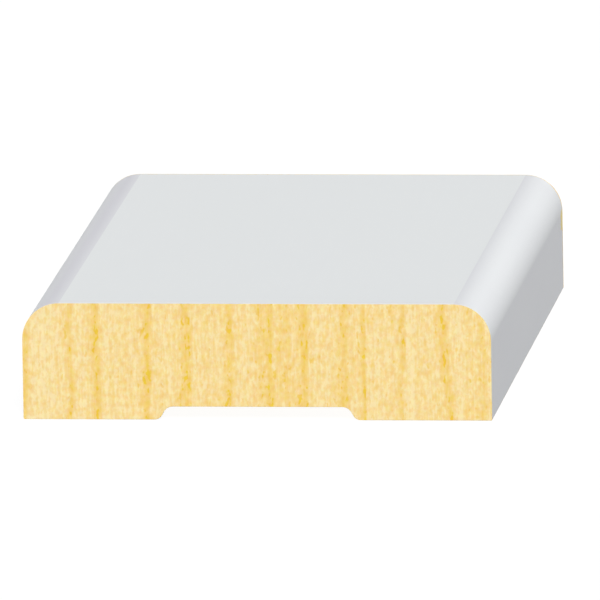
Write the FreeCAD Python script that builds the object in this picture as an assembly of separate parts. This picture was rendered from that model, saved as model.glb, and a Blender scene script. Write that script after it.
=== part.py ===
import FreeCAD, Part
import math
import os

# Architrave moulding: a short, square-sawn length of the softwood trim that covers the joint between a
# door or window frame and the wall. Its face is flat with both front edges rounded. Its back is relieved
# along the middle, so that the moulding beds on two flat lands and bridges an uneven wall.
#
# Millimetres. The moulding lies on its back. X runs across the width, Y along the grain and Z up through
# the thickness. The origin is the middle of the back plane, halfway along the piece.

# Stock
WIDTH = 57.15
THICKNESS = 14.29
LENGTH = 90.0

# Front edges
EDGE_RADIUS = 4.5

# Relief in the back. The land is measured from the long edge to the corner that the nose rounds off.
LAND_WIDTH = 16.6
RELIEF_DEPTH = 1.6
SHOULDER_ANGLE = 60.0
NOSE_RADIUS = 1.0
COVE_RADIUS = 1.25

SHORTEST_LINE = 1e-6


def shoulder_radii():
    """Nose and cove radius, which share the slope of the shoulder and never outgrow it."""
    angle = math.radians(SHOULDER_ANGLE)
    slope = RELIEF_DEPTH / math.sin(angle)
    used_by_arcs = (NOSE_RADIUS + COVE_RADIUS) * math.tan(angle / 2)
    share = min(1.0, slope / used_by_arcs)
    return NOSE_RADIUS * share, COVE_RADIUS * share


def section_corners():
    """Corners of the section as (x, z, radius), going round from the left end of the back."""
    side = WIDTH / 2
    relief_edge = side - LAND_WIDTH
    ceiling_edge = relief_edge - RELIEF_DEPTH / math.tan(math.radians(SHOULDER_ANGLE))
    nose, cove = shoulder_radii()
    return [
        (-side, 0.0, 0.0),
        (-side, THICKNESS, EDGE_RADIUS),
        (side, THICKNESS, EDGE_RADIUS),
        (side, 0.0, 0.0),
        (relief_edge, 0.0, nose),
        (ceiling_edge, RELIEF_DEPTH, cove),
        (-ceiling_edge, RELIEF_DEPTH, cove),
        (-relief_edge, 0.0, nose),
    ]


def rounded_corner(before, corner, after, radius):
    """Start, middle and end of the arc that is tangent to both lines through a corner."""
    to_before = (before - corner).normalize()
    to_after = (after - corner).normalize()
    half_angle = to_before.getAngle(to_after) / 2
    setback = radius / math.tan(half_angle)
    inward = (to_before + to_after).normalize()
    middle = corner + inward * (radius / math.sin(half_angle) - radius)
    return corner + to_before * setback, middle, corner + to_after * setback


def section_wire(y):
    """Closed outline of the section, in the plane across the grain at y."""
    corners = section_corners()
    points = [FreeCAD.Vector(x, y, z) for x, z, radius in corners]
    turns = []
    for i, (x, z, radius) in enumerate(corners):
        after = points[(i + 1) % len(points)]
        turns.append(rounded_corner(points[i - 1], points[i], after, radius))
    edges = []
    for i, (start, middle, end) in enumerate(turns):
        last_end = turns[i - 1][2]
        if start.distanceToPoint(last_end) > SHORTEST_LINE:
            edges.append(Part.LineSegment(last_end, start).toShape())
        if start.distanceToPoint(end) > SHORTEST_LINE:
            edges.append(Part.Arc(start, middle, end).toShape())
    return Part.Wire(edges)


def architrave_moulding():
    """The whole piece: one section, run the full length between two square saw cuts."""
    section = Part.Face(section_wire(-LENGTH / 2))
    return section.extrude(FreeCAD.Vector(0, LENGTH, 0))


os.makedirs("parts", exist_ok=True)
architrave_moulding().exportStep("parts/architrave_moulding.step")
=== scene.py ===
import math
from collections import namedtuple

import bmesh
import bpy
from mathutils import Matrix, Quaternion, Vector


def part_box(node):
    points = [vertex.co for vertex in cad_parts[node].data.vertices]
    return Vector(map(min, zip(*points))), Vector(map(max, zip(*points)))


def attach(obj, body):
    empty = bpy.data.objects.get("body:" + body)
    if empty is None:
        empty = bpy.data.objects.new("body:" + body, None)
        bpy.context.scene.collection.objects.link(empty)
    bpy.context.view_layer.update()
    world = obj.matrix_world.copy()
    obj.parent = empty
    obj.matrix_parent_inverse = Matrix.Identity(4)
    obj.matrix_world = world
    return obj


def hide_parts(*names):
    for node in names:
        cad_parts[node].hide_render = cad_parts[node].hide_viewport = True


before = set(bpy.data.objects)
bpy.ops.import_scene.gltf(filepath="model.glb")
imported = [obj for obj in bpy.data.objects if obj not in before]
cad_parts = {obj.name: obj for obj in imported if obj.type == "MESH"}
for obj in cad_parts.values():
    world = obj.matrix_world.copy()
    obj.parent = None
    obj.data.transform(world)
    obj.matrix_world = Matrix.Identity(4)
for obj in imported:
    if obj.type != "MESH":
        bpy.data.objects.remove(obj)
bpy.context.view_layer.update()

# The looks of the architrave moulding: a sawn length of pine, primed on its face, rounded edges and long
# sides, and bare on its ends and back. Lengths are metres, or millimetres where a name ends in MM.

MM = 0.001
NODE = "architrave_moulding"
LOW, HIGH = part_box(NODE)
WIDTH = HIGH[0] - LOW[0]
LENGTH = HIGH[1] - LOW[1]
THICKNESS = HIGH[2] - LOW[2]

# Section, as in the solid
EDGE_RADIUS = 4.5 * MM
LAND_WIDTH = 16.6 * MM
RELIEF_DEPTH = 1.6 * MM
SHOULDER_ANGLE = math.radians(60)
NOSE_RADIUS = 1.0 * MM
COVE_RADIUS = 1.25 * MM

# Mesh. The arrises are eased as fine sandpaper leaves them.
FOOT_EASE = 0.12 * MM
ARRIS_EASE = 0.06 * MM
EASE_STEPS = 3
EDGE_STEPS = 24
SMALL_ARC_STEPS = 8
LENGTH_STEPS = 30

# Colour map: the long surface as one strip with the two ends beside it, which are drawn larger
MAP_SIZE = 152 * MM
MAP_GAP = 1.5 * MM
END_ENLARGED = 2.0


# The screen's curve: a straight start, and a power from there on
SHOWN_MOST = 255
CURVE_FROM = 0.04045
START_SLOPE = 12.92
CURVE_OFFSET = 0.055
CURVE_POWER = 2.4


def srgb(red, green, blue):
    """A colour given as it shows on a screen, 0 to 255, turned to linear light."""
    linear = []
    for value in (red, green, blue):
        shown = value / SHOWN_MOST
        if shown <= CURVE_FROM:
            linear.append(shown / START_SLOPE)
        else:
            linear.append(((shown + CURVE_OFFSET) / (1 + CURVE_OFFSET)) ** CURVE_POWER)
    return (*linear, 1.0)


# Section outline

def section_corners():
    """Corners of the section as (x, z, radius, steps), going round from the left end of the back."""
    side = WIDTH / 2
    relief_edge = side - LAND_WIDTH
    ceiling_edge = relief_edge - RELIEF_DEPTH / math.tan(SHOULDER_ANGLE)
    return [
        (-side, 0.0, FOOT_EASE, EASE_STEPS),
        (-side, THICKNESS, EDGE_RADIUS, EDGE_STEPS),
        (side, THICKNESS, EDGE_RADIUS, EDGE_STEPS),
        (side, 0.0, FOOT_EASE, EASE_STEPS),
        (relief_edge, 0.0, NOSE_RADIUS, SMALL_ARC_STEPS),
        (ceiling_edge, RELIEF_DEPTH, COVE_RADIUS, SMALL_ARC_STEPS),
        (-ceiling_edge, RELIEF_DEPTH, COVE_RADIUS, SMALL_ARC_STEPS),
        (-relief_edge, 0.0, NOSE_RADIUS, SMALL_ARC_STEPS),
    ]


def rounded_corner(before, corner, after, radius, steps):
    """Points along the arc that is tangent to both lines through a corner."""
    to_before = (before - corner).normalized()
    to_after = (after - corner).normalized()
    half_angle = to_before.angle(to_after) / 2
    inward = (to_before + to_after).normalized()
    centre = corner + inward * (radius / math.sin(half_angle))
    start = corner + to_before * (radius / math.tan(half_angle)) - centre
    end = corner + to_after * (radius / math.tan(half_angle)) - centre
    turn = start.angle(end)
    return [
        centre + (start * math.sin(turn * (1 - t)) + end * math.sin(turn * t)) / math.sin(turn)
        for t in (i / steps for i in range(steps + 1))
    ]


def section_points():
    """The whole section as a closed loop of points in the XZ plane."""
    corners = section_corners()
    places = [Vector((x, 0.0, z)) for x, z, radius, steps in corners]
    loop = []
    for i, (x, z, radius, steps) in enumerate(corners):
        after = places[(i + 1) % len(places)]
        loop += rounded_corner(places[i - 1], places[i], after, radius, steps)
    return loop


def inset(loop, distance):
    """The loop moved inwards by the same distance all round."""
    moved = []
    for i, point in enumerate(loop):
        before = (point - loop[i - 1]).normalized()
        after = (loop[(i + 1) % len(loop)] - point).normalized()
        along = (before + after).normalized()
        inward = Vector((along.z, 0.0, -along.x))
        moved.append(point + inward * (distance / along.dot(after)))
    return moved


# The dressed piece

def stations():
    """Where along the grain the section is repeated, and how far the eased arris draws it in there."""
    turns = [math.pi / 2 * i / EASE_STEPS for i in range(EASE_STEPS)]
    near = [(LOW[1] + ARRIS_EASE * (1 - math.cos(t)), ARRIS_EASE * (1 - math.sin(t))) for t in turns]
    far = [(HIGH[1] - (y - LOW[1]), drawn_in) for y, drawn_in in reversed(near)]
    run = LENGTH - 2 * ARRIS_EASE
    steps = range(LENGTH_STEPS + 1)
    return near + [(LOW[1] + ARRIS_EASE + run * i / LENGTH_STEPS, 0.0) for i in steps] + far


def moulding_mesh():
    """The section run along the grain in even steps, closed by the sawn ends, with its colour map."""
    made = bmesh.new()
    laid_out = made.loops.layers.uv.new("OFBake")
    loop = section_points()
    reach = [0.0]
    for j, point in enumerate(loop):
        reach.append(reach[-1] + (loop[(j + 1) % len(loop)] - point).length)
    rings = []
    for y, drawn_in in stations():
        rings.append([made.verts.new((p.x, y, p.z)) for p in inset(loop, drawn_in)])

    for near, far in zip(rings, rings[1:]):
        for j in range(len(loop)):
            k = (j + 1) % len(loop)
            face = made.faces.new((near[j], far[j], far[k], near[k]))
            for corner, around in zip(face.loops, (reach[j], reach[j], reach[j + 1], reach[j + 1])):
                across = corner.vert.co.y - LOW[1]
                corner[laid_out].uv = Vector((MAP_GAP + across, MAP_GAP + around)) / MAP_SIZE

    end_left = LENGTH + 2 * MAP_GAP
    for ring in (rings[0], list(reversed(rings[-1]))):
        face = made.faces.new(ring)
        for corner in face.loops:
            across = end_left + END_ENLARGED * corner.vert.co.z
            around = MAP_GAP + END_ENLARGED * (corner.vert.co.x - LOW[0])
            corner[laid_out].uv = Vector((across, around)) / MAP_SIZE
        end_left += END_ENLARGED * THICKNESS + MAP_GAP

    bmesh.ops.recalc_face_normals(made, faces=made.faces)
    for face in made.faces:
        face.smooth = True
    mesh = bpy.data.meshes.new("moulding")
    made.to_mesh(mesh)
    made.free()
    return mesh


def dressed_moulding():
    """The moulding, shaded so that its flats stay flat up to the eased arrises."""
    piece = bpy.data.objects.new("moulding", moulding_mesh())
    bpy.context.collection.objects.link(piece)
    flats = piece.modifiers.new("flat_faces", "WEIGHTED_NORMAL")
    flats.keep_sharp = True
    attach(piece, "root")
    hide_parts(NODE)
    return piece


# Building nodes

# A noise: the size of its lumps in mm across, along and up, its seed, and the depth and strength of its
# finer detail
Noise = namedtuple("Noise", "lumps_mm seed detail roughness", defaults=(1.0, 0.5))
SEED_SHARES = (1.0, 1.7, 2.3)

# The Mix node for colours and for numbers: its type, its two inputs and its output
COLOUR_MIX = ("RGBA", 6, 7, 2)
NUMBER_MIX = ("FLOAT", 2, 3, 0)


class Nodes:
    """The nodes of a material or a world. An input is a number, a colour or another node's output."""

    def __init__(self, owner):
        owner.use_nodes = True
        self.tree = owner.node_tree
        self.tree.nodes.clear()

    def add(self, kind, **settings):
        made = self.tree.nodes.new("ShaderNode" + kind)
        for name, value in settings.items():
            setattr(made, name, value)
        return made

    def feed(self, socket, value):
        if isinstance(value, bpy.types.NodeSocket):
            self.tree.links.new(value, socket)
        else:
            socket.default_value = value

    def math(self, operation, *values):
        made = self.add("Math", operation=operation)
        for socket, value in zip(made.inputs, values):
            self.feed(socket, value)
        return made.outputs[0]

    def minus(self, first, second):
        return self.math("SUBTRACT", first, second)

    def times(self, first, second):
        return self.math("MULTIPLY", first, second)

    def line(self, value, slope, start):
        """The start, and the slope more for each 1 of the value."""
        return self.math("MULTIPLY_ADD", value, slope, start)

    def fade(self, value):
        """1 at 0, and smaller by the factor e for each 1 more."""
        return self.math("POWER", math.exp(-1), value)

    def total(self, *values):
        answer = values[0]
        for value in values[1:]:
            answer = self.math("ADD", answer, value)
        return answer

    def blend(self, kind, factor, first, second):
        data_type, first_input, second_input, output = kind
        made = self.add("Mix", data_type=data_type)
        self.feed(made.inputs["Factor"], factor)
        self.feed(made.inputs[first_input], first)
        self.feed(made.inputs[second_input], second)
        return made.outputs[output]

    def mix(self, factor, first, second):
        """A colour from the first at 0 to the second at 1."""
        return self.blend(COLOUR_MIX, factor, first, second)

    def between(self, factor, first, second):
        """A number from the first at 0 to the second at 1."""
        return self.blend(NUMBER_MIX, factor, first, second)

    def step(self, value, start, end):
        """0 before start and 1 after end, with a smooth passage."""
        made = self.add("MapRange", interpolation_type="SMOOTHSTEP")
        self.feed(made.inputs["Value"], value)
        self.feed(made.inputs["From Min"], start)
        self.feed(made.inputs["From Max"], end)
        return made.outputs["Result"]

    def noise(self, place, kind):
        """One Noise about 0, mostly within 0.3 either way."""
        scaled = self.add("Mapping")
        self.feed(scaled.inputs["Vector"], place)
        scaled.inputs["Scale"].default_value = [1 / size for size in kind.lumps_mm]
        scaled.inputs["Location"].default_value = [kind.seed * share for share in SEED_SHARES]
        made = self.add("TexNoise")
        made.inputs["Scale"].default_value = 1.0
        made.inputs["Detail"].default_value = kind.detail
        made.inputs["Roughness"].default_value = kind.roughness
        self.feed(made.inputs["Vector"], scaled.outputs["Vector"])
        return self.minus(made.outputs["Fac"], 0.5)


# Places on the moulding in mm
SIDE_MM = WIDTH / 2 / MM
FACE_EDGE_MM = (WIDTH / 2 - EDGE_RADIUS) / MM
SIDE_TOP_MM = (THICKNESS - EDGE_RADIUS) / MM
MIDDLE_HEIGHT_MM = THICKNESS / 2 / MM
NEAR_END_MM = LOW[1] / MM
FAR_END_MM = HIGH[1] / MM

# Growth rings across the near end: middle and half width in mm from the section's middle, how dark, and
# how far the ring leans to the right for each mm upwards. Below 0 the band is paler than what is round it.
RINGS_MM = [
    (-28.35, 0.75, 0.32, 0.0),
    (-25.8, 2.20, -0.08, 0.0),
    (-22.7, 0.50, 0.28, 0.0),
    (-21.5, 0.60, -0.06, 0.0),
    (-19.5, 0.60, 0.37, -0.01),
    (-18.4, 0.50, -0.05, 0.0),
    (-15.9, 0.30, 0.06, 0.0),
    (-13.3, 0.55, 0.37, 0.01),
    (-8.4, 0.75, 0.30, 0.0),
    (-5.8, 0.45, 0.08, 0.0),
    (-3.2, 0.60, 0.31, 0.02),
    (0.5, 0.55, 0.17, 0.0),
    (1.6, 0.55, 0.34, 0.0),
    (2.8, 0.45, 0.07, 0.0),
    (3.7, 0.80, 0.20, 0.0),
    (5.9, 0.65, 0.38, 0.0),
    (10.7, 0.75, 0.27, 0.01),
    (12.3, 0.35, 0.07, 0.0),
    (13.1, 0.35, 0.32, 0.01),
    (16.9, 0.40, 0.06, 0.0),
    (17.8, 0.40, 0.26, 0.03),
    (19.0, 0.55, -0.13, 0.0),
    (20.2, 0.60, 0.05, 0.0),
    (23.15, 0.70, 0.29, -0.07),
    (24.7, 0.60, -0.09, 0.0),
    (26.1, 0.60, 0.08, 0.0),
    (27.5, 0.45, 0.21, 0.0),
]
# How steep a ring is on its left and on its right, and the power that leaves only its narrow core
RING_LEFT = 0.75
RING_RIGHT = 1.35
CORE_POWER = 4.0
# Every ring wavers, and drifts sideways more and more away from the near end
RING_WAVER = Noise((6, 60, 3.5), seed=5.0, detail=2.0)
WAVER_MM = 0.8
RING_DRIFT = Noise((30, 60, 30), seed=3.0, detail=2.0)
DRIFT_PER_MM = 0.03


def ring_darkness(nodes, x, height):
    """How far into latewood a place is, and the same for the narrow core of each ring.

    A ring darkens slowly from the left and ends sharply on the right.
    """
    bands = 0.0
    cores = 0.0
    for middle, half_width, darkness, lean in RINGS_MM:
        offset = nodes.minus(x, nodes.line(height, lean, middle))
        to_left = nodes.times(offset, -RING_LEFT / half_width)
        to_right = nodes.times(offset, RING_RIGHT / half_width)
        share = nodes.math("MAXIMUM", to_left, to_right)
        band = nodes.fade(nodes.times(share, share))
        core = nodes.math("POWER", band, CORE_POWER)
        bands = nodes.line(band, darkness, bands)
        cores = nodes.line(core, darkness, cores)
    return bands, cores


def growth_rings(nodes, place, x, y, z):
    """The rings at a place, as what ring_darkness gives for it."""
    from_near_end = nodes.minus(y, NEAR_END_MM)
    drift = nodes.times(nodes.noise(place, RING_DRIFT), from_near_end)
    waver = nodes.noise(place, RING_WAVER)
    bent_x = nodes.total(x, nodes.times(drift, DRIFT_PER_MM), nodes.times(waver, WAVER_MM))
    return ring_darkness(nodes, bent_x, nodes.minus(z, MIDDLE_HEIGHT_MM))


# Resin flecks show where specks and strings together pass a limit, which is lower in a ring than between
# two, and rises at the left
SPECK = Noise((0.42, 9, 0.75), seed=23.0)
STRING = Noise((0.8, 20, 2.8), seed=29.0)
FLECK_LIMIT = 0.20
FLECK_LIMIT_IN_RING = 0.075
FLECK_LIMIT_RISE = 0.06
FLECK_RISE_MM = (-16.0, -23.0)
FLECK_PASSAGE = 0.17
IN_RING_GAIN = 3.0
# What a fleck adds to the tone
FLECK_TONE = 0.34
FLECK_TONE_IN_RING = 1.20


def resin_flecks(nodes, place, x, bands):
    """What the resin adds to the tone: small dark flecks that gather in the rings."""
    in_ring = nodes.step(nodes.times(bands, IN_RING_GAIN), 0.0, 1.0)
    limit = nodes.between(in_ring, FLECK_LIMIT, FLECK_LIMIT_IN_RING)
    limit = nodes.line(nodes.step(x, *FLECK_RISE_MM), FLECK_LIMIT_RISE, limit)
    resin = nodes.total(nodes.noise(place, SPECK), nodes.noise(place, STRING))
    shown = nodes.step(nodes.minus(resin, limit), 0.0, FLECK_PASSAGE)
    return nodes.times(shown, nodes.line(bands, FLECK_TONE_IN_RING, FLECK_TONE))


# Pine by its tone, from the palest earlywood at 0 to the resin in the darkest latewood at 1
PINE_TONES = [
    (0.00, srgb(251, 229, 172)),
    (0.15, srgb(248, 220, 153)),
    (0.28, srgb(247, 214, 139)),
    (0.42, srgb(246, 210, 124)),
    (0.56, srgb(244, 206, 108)),
    (1.00, srgb(240, 199, 60)),
]
# The tone between the rings, and what each part of the grain adds to it
EARLYWOOD_TONE = 0.15
BAND_TONE = 0.70
CORE_TONE = 0.28
FIBRE = Noise((0.60, 12, 0.92), seed=11.0, detail=2.0, roughness=0.6)
FIBRE_TONE = 1.08
STREAK = Noise((0.26, 14, 2.6), seed=13.0)
STREAK_TONE = 0.45
BLOTCH = Noise((1.6, 40, 4.0), seed=17.0)
BLOTCH_TONE = 0.10
# How far the colour swings in hue and in value as well
NEUTRAL_HUE = 0.5
HUE = Noise((0.6, 10, 0.7), seed=31.0)
HUE_SWING = 0.034
VALUE = Noise((0.5, 10, 0.7), seed=37.0)
VALUE_SWING = 0.10
# Roughness, and how high the rings stand beside the fibres
PINE_ROUGHNESS = 0.72
PINE_ROUGHNESS_SWING = 0.15
RING_RELIEF = 0.9


def pine(nodes, place, x, y, z):
    """Bare pine, as its colour, roughness and relief: growth rings, fine fibre mottle and resin flecks."""
    bands, cores = growth_rings(nodes, place, x, y, z)
    fibre = nodes.noise(place, FIBRE)
    tone = nodes.total(
        nodes.line(fibre, FIBRE_TONE, EARLYWOOD_TONE),
        nodes.times(nodes.noise(place, STREAK), STREAK_TONE),
        nodes.times(nodes.noise(place, BLOTCH), BLOTCH_TONE),
        nodes.times(bands, BAND_TONE),
        nodes.times(cores, CORE_TONE),
        resin_flecks(nodes, place, x, bands),
    )
    ramp = nodes.add("ValToRGB")
    stops = ramp.color_ramp.elements
    stops[0].position, stops[0].color = PINE_TONES[0]
    stops[1].position, stops[1].color = PINE_TONES[-1]
    for position, colour in PINE_TONES[1:-1]:
        stops.new(position).color = colour
    nodes.feed(ramp.inputs["Fac"], tone)

    swung = nodes.add("HueSaturation")
    nodes.feed(swung.inputs["Hue"], nodes.line(nodes.noise(place, HUE), HUE_SWING, NEUTRAL_HUE))
    nodes.feed(swung.inputs["Value"], nodes.line(nodes.noise(place, VALUE), VALUE_SWING, 1.0))
    nodes.feed(swung.inputs["Color"], ramp.outputs["Color"])
    roughness = nodes.line(fibre, PINE_ROUGHNESS_SWING, PINE_ROUGHNESS)
    relief = nodes.total(nodes.times(bands, RING_RELIEF), fibre)
    return swung.outputs["Color"], roughness, relief


# Primer, and the darker colour that it leans to in its clouds and brush grain and where shade is painted
# on it
PRIMER = srgb(238, 241, 242)
PRIMER_MOTTLE_AND_SHADE = (0.12, 0.0, 0.25, 1.0)
# Painted shade past the line at the edge of the face, and how much more shade is painted on the sides
RIGHT_PAINTED_SHADE = 0.04
LEFT_PAINTED_SHADE = 0.058
SIDE_PAINTED_SHADE = 0.038
# Painted shade just at the line on the right, and in a soft band on the left. LEFT_BAND_MM is how far
# the band's middle lies past the line, and also how far the band reaches either way.
RIGHT_LINE_PAINTED_SHADE = 0.058
LINE_FADES_MM = 0.9
LEFT_BAND_PAINTED_SHADE = 0.092
LEFT_BAND_MM = 1.2
LINE_SOFT_MM = 0.05
MIDDLE_SOFT_MM = 1.0
# Its cloudiness, brush grain and peel
CLOUD = Noise((9, 22, 9), seed=43.0, detail=2.0)
CLOUD_SHADE = 0.025
BRUSH = Noise((0.7, 26, 0.7), seed=47.0, detail=2.0)
BRUSH_SHADE = 0.012
BRUSH_RELIEF = 0.5
PEEL = Noise((0.9, 1.1, 0.9), seed=41.0, detail=2.0)
PRIMER_ROUGHNESS = 0.70
PRIMER_ROUGHNESS_SWING = 0.1


def primer(nodes, place, x, z):
    """White primer, as its colour, roughness and relief.

    Its colour carries painted shade: a little past a crisp line on each rounding, more in a soft band
    beside that line on the left, and more on each side.
    """
    cloud = nodes.noise(place, CLOUD)
    brush = nodes.noise(place, BRUSH)
    on_left = nodes.step(x, MIDDLE_SOFT_MM, -MIDDLE_SOFT_MM)
    past_face = nodes.minus(nodes.math("ABSOLUTE", x), FACE_EDGE_MM)
    off_face = nodes.step(past_face, -LINE_SOFT_MM, LINE_SOFT_MM)
    on_side = nodes.step(nodes.minus(SIDE_TOP_MM, z), -LINE_SOFT_MM, LINE_SOFT_MM)
    at_line = nodes.times(nodes.fade(nodes.times(past_face, 1 / LINE_FADES_MM)), off_face)
    across_band = nodes.line(past_face, 1 / LEFT_BAND_MM, -1.0)
    in_band = nodes.times(nodes.fade(nodes.times(across_band, across_band)), off_face)
    # Painted shade on the roundings, the left band and the sides, added to the primer's random clouds and
    # brush grain
    mottle_and_painted_shade = nodes.total(
        nodes.times(cloud, CLOUD_SHADE),
        nodes.times(brush, BRUSH_SHADE),
        nodes.times(off_face, nodes.between(on_left, RIGHT_PAINTED_SHADE, LEFT_PAINTED_SHADE)),
        nodes.times(on_side, SIDE_PAINTED_SHADE),
        nodes.times(at_line, nodes.between(on_left, RIGHT_LINE_PAINTED_SHADE, 0.0)),
        nodes.times(in_band, nodes.between(on_left, 0.0, LEFT_BAND_PAINTED_SHADE)),
    )
    colour = nodes.mix(mottle_and_painted_shade, PRIMER, PRIMER_MOTTLE_AND_SHADE)
    roughness = nodes.line(cloud, PRIMER_ROUGHNESS_SWING, PRIMER_ROUGHNESS)
    relief = nodes.total(nodes.noise(place, PEEL), nodes.times(brush, BRUSH_RELIEF))
    return colour, roughness, relief


# The chip at the far right arris, between two heights: torn wood, paler than sawn wood, and lightened
# further as painted light so that it reads bright on the shaded side
TORN_PINE_AND_PAINTED_LIGHT = srgb(252, 230, 156)
SPLINTER = Noise((0.6, 3.0, 0.35), seed=59.0, detail=2.0)
CHIP_LOW_MM = 7.6
CHIP_HIGH_MM = 9.9
CHIP_SOFT_MM = 0.3
CHIP_STRAY_MM = 0.8
CHIP_SIDE_MM = (SIDE_MM - 0.8, SIDE_MM - 0.5)
CHIP_FAR_HALF_MM = (0.0, 1.0)
CHIP_DEPTH_MM = 2.1
CHIP_DEPTH_STRAY_MM = 2.4


def chip(nodes, place, x, y, z):
    """1 where the wood is torn, and how many mm in from the far end the primer has come off with it."""
    splinter = nodes.noise(place, SPLINTER)
    torn_z = nodes.line(splinter, CHIP_STRAY_MM, z)
    above_low = nodes.step(torn_z, CHIP_LOW_MM - CHIP_SOFT_MM, CHIP_LOW_MM + CHIP_SOFT_MM)
    below_high = nodes.step(torn_z, CHIP_HIGH_MM + CHIP_SOFT_MM, CHIP_HIGH_MM - CHIP_SOFT_MM)
    chipped = nodes.times(nodes.times(above_low, below_high), nodes.step(x, *CHIP_SIDE_MM))
    torn = nodes.times(chipped, nodes.step(y, *CHIP_FAR_HALF_MM))
    reach = nodes.times(chipped, nodes.line(splinter, CHIP_DEPTH_STRAY_MM, CHIP_DEPTH_MM))
    return torn, reach


# Where the coat ends, as the distances over which it comes in, and how far its edge strays
NEAR_BARE_MM = (0.02, 0.07)
FAR_BARE_MM = (0.16, 0.26)
FOOT_BARE_MM = (0.06, 0.12)
RAGGED = Noise((0.5, 0.5, 0.5), seed=53.0, detail=3.0)
EDGE_STRAY_MM = 0.10
FAR_STRAY_MM = 0.35
# The far arris is worn more towards the right side
WORN_SIDE_MM = (SIDE_MM - 3.0, SIDE_MM - 0.2)
SIDE_WEAR_MM = 0.25
# The sides lie past the first of these and the face above the second. The relief between them is bare.
SIDES_FROM_MM = (20.0, 21.0)
FACE_FROM_MM = (3.0, 4.0)


def coat_share(nodes, place, x, y, z, chip_reach):
    """1 where primer covers the wood, and 0 on the back, on the sawn ends and in the chip."""
    ragged = nodes.noise(place, RAGGED)
    from_near = nodes.line(ragged, EDGE_STRAY_MM, nodes.minus(y, NEAR_END_MM))
    from_far = nodes.line(ragged, FAR_STRAY_MM, nodes.minus(FAR_END_MM, y))
    from_far = nodes.line(nodes.step(x, *WORN_SIDE_MM), -SIDE_WEAR_MM, from_far)
    from_far = nodes.minus(from_far, chip_reach)
    from_foot = nodes.line(ragged, EDGE_STRAY_MM, z)
    at_sides = nodes.step(nodes.math("ABSOLUTE", x), *SIDES_FROM_MM)
    share = nodes.math("MAXIMUM", at_sides, nodes.step(z, *FACE_FROM_MM))
    for distance, bare in ((from_near, NEAR_BARE_MM), (from_far, FAR_BARE_MM), (from_foot, FOOT_BARE_MM)):
        share = nodes.times(share, nodes.step(distance, *bare))
    return share


# Bump: how high its 1 is, and the height of the coat over the wood, with how much of its relief shows
BUMP_UNIT = 0.012 * MM
COAT_HEIGHT = 1.5
COAT_RELIEF = 0.8
SPECULAR_LEVEL = 0.35


def primed_pine():
    """The one material of the piece: pine, with primer over it wherever the coat reaches."""
    material = bpy.data.materials.new("primed_pine")
    nodes = Nodes(material)
    where = nodes.add("TexCoord")
    in_mm = nodes.add("VectorMath", operation="SCALE")
    nodes.feed(in_mm.inputs[0], where.outputs["Object"])
    in_mm.inputs["Scale"].default_value = 1 / MM
    place = in_mm.outputs["Vector"]
    split = nodes.add("SeparateXYZ")
    nodes.feed(split.inputs[0], place)
    x, y, z = split.outputs

    torn, chip_reach = chip(nodes, place, x, y, z)
    coat = coat_share(nodes, place, x, y, z, chip_reach)
    wood_colour, wood_roughness, wood_relief = pine(nodes, place, x, y, z)
    # The torn pine colour is partly painted light: paler torn wood, lightened further so that the chip
    # reads bright on the shaded side
    wood_colour = nodes.mix(torn, wood_colour, TORN_PINE_AND_PAINTED_LIGHT)
    coat_colour, coat_roughness, coat_relief = primer(nodes, place, x, z)

    bump = nodes.add("Bump")
    bump.inputs["Strength"].default_value = 1.0
    bump.inputs["Distance"].default_value = BUMP_UNIT
    coat_top = nodes.line(coat_relief, COAT_RELIEF, COAT_HEIGHT)
    nodes.feed(bump.inputs["Height"], nodes.between(coat, wood_relief, coat_top))

    shader = nodes.add("BsdfPrincipled")
    nodes.feed(shader.inputs["Base Color"], nodes.mix(coat, wood_colour, coat_colour))
    nodes.feed(shader.inputs["Roughness"], nodes.between(coat, wood_roughness, coat_roughness))
    nodes.feed(shader.inputs["Normal"], bump.outputs["Normal"])
    shader.inputs["Specular IOR Level"].default_value = SPECULAR_LEVEL
    output = nodes.add("OutputMaterial")
    nodes.feed(output.inputs["Surface"], shader.outputs["BSDF"])
    return material


# Setting

FLOOR_SIZE = 1.6
FLOOR_GAP = 0.02 * MM
# The floor glows nearly white by itself, and its paper adds the little that a shadow can take away
FLOOR_GLOW = 0.94
FLOOR_SEEN = (0.1, 0.1, 0.1, 1.0)
# Light from above, light from the ground, and what the ground's gains towards the right
SKY_LIGHT = 0.15
GROUND_LIGHT = 0.55
GROUND_LEAN = -0.25
WHITE = (1.0, 1.0, 1.0, 1.0)


def floor_material():
    """White paper to the camera, with the moulding's soft shadow. Light from below passes through it."""
    material = bpy.data.materials.new("white_floor")
    nodes = Nodes(material)
    rays = nodes.add("LightPath")
    face = nodes.add("NewGeometry")
    paper = nodes.add("BsdfDiffuse")
    paper.inputs["Color"].default_value = FLOOR_SEEN
    glow = nodes.add("Emission")
    glow.inputs["Strength"].default_value = FLOOR_GLOW
    shown = nodes.add("AddShader")
    nodes.feed(shown.inputs[0], paper.outputs[0])
    nodes.feed(shown.inputs[1], glow.outputs[0])
    clear = nodes.add("BsdfTransparent")
    from_above = nodes.minus(1.0, face.outputs["Backfacing"])
    choice = nodes.add("MixShader")
    nodes.feed(choice.inputs[0], nodes.times(rays.outputs["Is Camera Ray"], from_above))
    nodes.feed(choice.inputs[1], clear.outputs[0])
    nodes.feed(choice.inputs[2], shown.outputs[0])
    output = nodes.add("OutputMaterial")
    nodes.feed(output.inputs["Surface"], choice.outputs[0])
    return material


def floor():
    """A plain white floor, a hair below the back so that the two never share a plane."""
    made = bmesh.new()
    bmesh.ops.create_grid(made, x_segments=1, y_segments=1, size=FLOOR_SIZE / 2)
    mesh = bpy.data.meshes.new("floor")
    made.to_mesh(mesh)
    made.free()
    mesh.materials.append(floor_material())
    plane = bpy.data.objects.new("floor", mesh)
    plane.location.z = LOW[2] - FLOOR_GAP
    bpy.context.collection.objects.link(plane)


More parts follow.
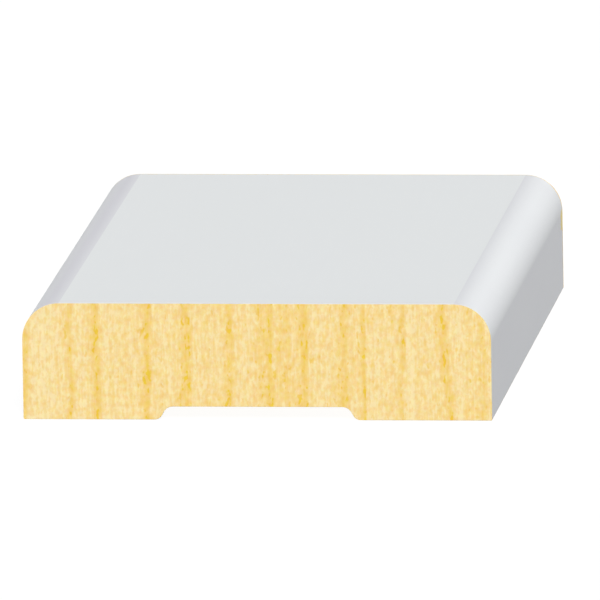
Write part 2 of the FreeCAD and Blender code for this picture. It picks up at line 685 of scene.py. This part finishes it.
def sky():
    """White behind the object, with a weak, even light from above and a stronger one from the ground.

    The light from the ground leans to the left, so that the recess in the back shows its shape.
    """
    world = bpy.data.worlds.new("studio")
    bpy.context.scene.world = world
    nodes = Nodes(world)
    split = nodes.add("SeparateXYZ")
    nodes.feed(split.inputs[0], nodes.add("TexCoord").outputs["Generated"])
    below = nodes.math("LESS_THAN", split.outputs["Z"], 0.0)
    ground = nodes.line(split.outputs["X"], GROUND_LEAN, GROUND_LIGHT)
    lit = nodes.add("Background")
    nodes.feed(lit.inputs["Color"], WHITE)
    nodes.feed(lit.inputs["Strength"], nodes.between(below, SKY_LIGHT, ground))
    seen = nodes.add("Background")
    nodes.feed(seen.inputs["Color"], WHITE)
    nodes.feed(seen.inputs["Strength"], 1.0)
    rays = nodes.add("LightPath")
    choice = nodes.add("MixShader")
    nodes.feed(choice.inputs[0], rays.outputs["Is Camera Ray"])
    nodes.feed(choice.inputs[1], lit.outputs[0])
    nodes.feed(choice.inputs[2], seen.outputs[0])
    output = nodes.add("OutputWorld")
    nodes.feed(output.inputs["Surface"], choice.outputs[0])


# Lamps: name, azimuth and elevation of the light in degrees, and strength
LAMPS = [
    ("key", 14.0, 40.0, 2.70),
    ("edge", 155.0, 27.0, 1.02),
    ("low_edge", 135.0, 12.0, 0.31),
    ("fill", -90.0, 3.0, 0.95),
]
LAMP_SPREAD = math.radians(20)


def toward(azimuth, elevation):
    """The direction from the moulding to a place. Azimuth 0 is before the near end, 90 on the right."""
    level = math.cos(elevation)
    return Vector((math.sin(azimuth) * level, -math.cos(azimuth) * level, math.sin(elevation)))


def lamps():
    for name, azimuth, elevation, strength in LAMPS:
        data = bpy.data.lights.new(name, "SUN")
        data.energy = strength
        data.angle = LAMP_SPREAD
        lamp = bpy.data.objects.new(name, data)
        source = toward(math.radians(azimuth), math.radians(elevation))
        lamp.rotation_mode = "QUATERNION"
        lamp.rotation_quaternion = source.to_track_quat("Z", "Y")
        bpy.context.collection.objects.link(lamp)


# Camera: a very long lens, so that receding edges stay nearly parallel
CAMERA_AZIMUTH = math.radians(6.218)
CAMERA_ELEVATION = math.radians(10.264)
CAMERA_ROLL = math.radians(0.945)
CAMERA_DISTANCE = 3.3882
CAMERA_AIM = Vector((0.499 * MM, 0.0, 6.592 * MM))
SENSOR_MM = 36.0
LENS_RATIO = 46.0
CLIP_NEAR = CAMERA_DISTANCE / 10
CLIP_FAR = CAMERA_DISTANCE * 3


def camera():
    data = bpy.data.cameras.new("camera")
    data.sensor_width = SENSOR_MM
    data.lens = LENS_RATIO * SENSOR_MM
    data.clip_start = CLIP_NEAR
    data.clip_end = CLIP_FAR
    made = bpy.data.objects.new("camera", data)
    back = toward(CAMERA_AZIMUTH, CAMERA_ELEVATION)
    made.location = CAMERA_AIM + back * CAMERA_DISTANCE
    made.rotation_mode = "QUATERNION"
    level = (-back).to_track_quat("-Z", "Y")
    made.rotation_quaternion = level @ Quaternion((0.0, 0.0, 1.0), -CAMERA_ROLL)
    bpy.context.collection.objects.link(made)
    bpy.context.scene.camera = made


bpy.context.scene.view_settings.view_transform = "Standard"
camera()
sky()
floor()
lamps()
dressed_moulding().data.materials.append(primed_pine())
